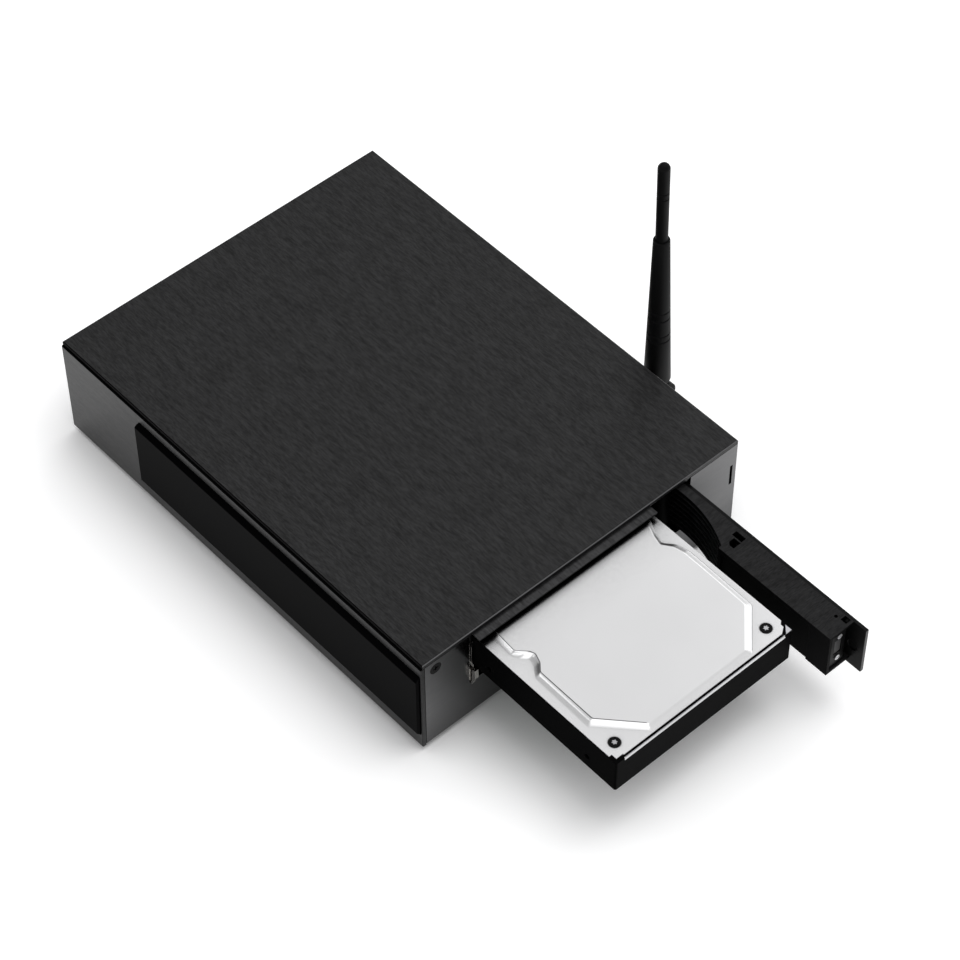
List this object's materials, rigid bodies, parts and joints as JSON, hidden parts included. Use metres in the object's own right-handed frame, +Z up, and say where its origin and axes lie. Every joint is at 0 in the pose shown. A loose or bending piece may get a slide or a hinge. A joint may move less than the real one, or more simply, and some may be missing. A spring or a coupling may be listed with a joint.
{
  "type": "media player with hard drive tray",
  "caption": "Flat desktop media player with a side bay: a hard drive slides out past a hinged latching door, and a rod antenna stands at the rear.",
  "frame": {"origin": "on the table, under the middle of the whole outline, which runs from the case's left side to the open door's end and from the front panel to the back of the antenna's foot", "axes": "+Z up, +X towards the side with the drive bay, +Y from the front panel to the rear panel"},
  "size_m": [0.3526, 0.2084, 0.1673],
  "materials": {
    "case_metal": "satin silver paint",
    "cover_black": "brushed, black anodised",
    "front_grey": "satin dark grey anodised",
    "window_black": "gloss black acrylic",
    "display_glass": "dark display glass",
    "rear_black": "satin black paint",
    "foot_rubber": "matte black rubber",
    "screw_black": "black oxide steel",
    "screw_steel": "plain steel",
    "cage_steel": "zinc-plated sheet",
    "board_green": "glass-fibre board with solder mask",
    "chip_black": "moulded chip package",
    "can_silver": "bare aluminium can",
    "sink_aluminium": "black anodised extrusion",
    "socket_black": "moulded black plastic",
    "socket_metal": "nickel-plated shell",
    "jack_brass": "gold-plated brass",
    "drive_black": "black coated die casting",
    "drive_steel": "plain stamped steel",
    "platter_silver": "polished",
    "works_aluminium": "machined",
    "magnet_nickel": "nickel plated",
    "door_black": "fine matte black",
    "door_aluminium": "satin",
    "latch_grey": "dark grey pressed steel",
    "latch_steel": "bright plated",
    "antenna_black": "satin black moulding"
  },
  "bodies": {
    "case": {"lower_chassis": "case_metal", "top_cover": "cover_black", "front_panel": "front_grey", "display_window": "window_black", "display_tube": "display_glass", "display_board": "board_green", "display_posts": "socket_black", "infrared_receiver": "chip_black", "rear_panel": "rear_black", "rubber_feet": "foot_rubber", "cover_screws": "screw_black", "main_board": "board_green", "board_standoffs": "jack_brass", "board_screws": "screw_steel", "processor": "chip_black", "memory_chips": "chip_black", "capacitors": "can_silver", "wifi_module": "socket_metal", "heat_sink": "sink_aluminium", "dc_jack": "socket_black", "hdmi_socket": "socket_metal", "lan_socket": "socket_metal", "usb_sockets": "socket_metal", "optical_socket": "socket_black", "coax_socket": "jack_brass", "av_socket": "socket_black", "switch_housing": "socket_black", "drive_cage": "cage_steel", "cage_screws": "screw_steel", "bay_lip": "cover_black", "bay_striker": "latch_steel", "sata_board": "board_green", "sata_socket": "socket_black", "hinge_bracket": "cage_steel", "hinge_pin": "screw_steel", "antenna_jack": "jack_brass", "jack_nut": "jack_brass"},
    "drive": {"drive_casting": "drive_black", "drive_lid": "drive_steel", "lid_screws": "screw_black", "coil_magnets": "magnet_nickel", "drive_board": "board_green", "drive_plug": "socket_black"},
    "platter": {"spindle_hub": "works_aluminium", "drive_platter": "platter_silver", "platter_clamp": "works_aluminium"},
    "heads": {"head_arm": "works_aluminium"},
    "door": {"door_frame": "door_black", "door_plate": "door_aluminium", "latch_frame": "latch_grey", "latch_screws": "screw_steel"},
    "bolt": {"latch_bolt": "socket_black"},
    "antenna_base": {"antenna_coupling": "antenna_black", "antenna_fork": "antenna_black", "antenna_pin": "screw_steel"},
    "antenna_mast": {"antenna_sleeve": "antenna_black", "antenna_whip": "antenna_black"},
    "rocker": {"power_rocker": "socket_black"}
  },
  "joints": [
    {"name": "drive_slide", "type": "slide", "parent": "case", "child": "drive", "axis": [1, 0, 0], "range_m": [-0.102, 0.045]},
    {"name": "door_hinge", "type": "hinge", "parent": "case", "child": "door", "pos_m": [0.0604, 0.04405, 0.04145], "axis": [0, 0, 1], "range_deg": [-3.5, 6]},
    {"name": "latch_push", "type": "slide", "parent": "door", "child": "bolt", "axis": [1, 0, 0], "range_m": [-0.0025, 0], "stiffness_N_per_m": 200, "springref_m": 0.002},
    {"name": "antenna_swivel", "type": "hinge", "parent": "case", "child": "antenna_base", "pos_m": [0.0035, 0.09795, 0.028], "axis": [0, 1, 0], "range_deg": [-90, 90]},
    {"name": "antenna_tilt", "type": "hinge", "parent": "antenna_base", "child": "antenna_mast", "pos_m": [0.0035, 0.09795, 0.028], "axis": [0.9997, 0, 0.0244], "range_deg": [-90, 0]},
    {"name": "rocker_tip", "type": "hinge", "parent": "case", "child": "rocker", "pos_m": [0.0383, 0.08115, 0.025], "axis": [0, 0, 1], "range_deg": [-12, 0]},
    {"name": "platter_spin", "type": "hinge", "parent": "drive", "child": "platter", "pos_m": [0.1037, -0.02145, 0.046], "axis": [0, 0, 1], "continuous": true},
    {"name": "head_swing", "type": "hinge", "parent": "drive", "child": "heads", "pos_m": [0.0517, 0.00575, 0.046], "axis": [0, 0, 1], "range_deg": [-12, 14]}
  ]
}
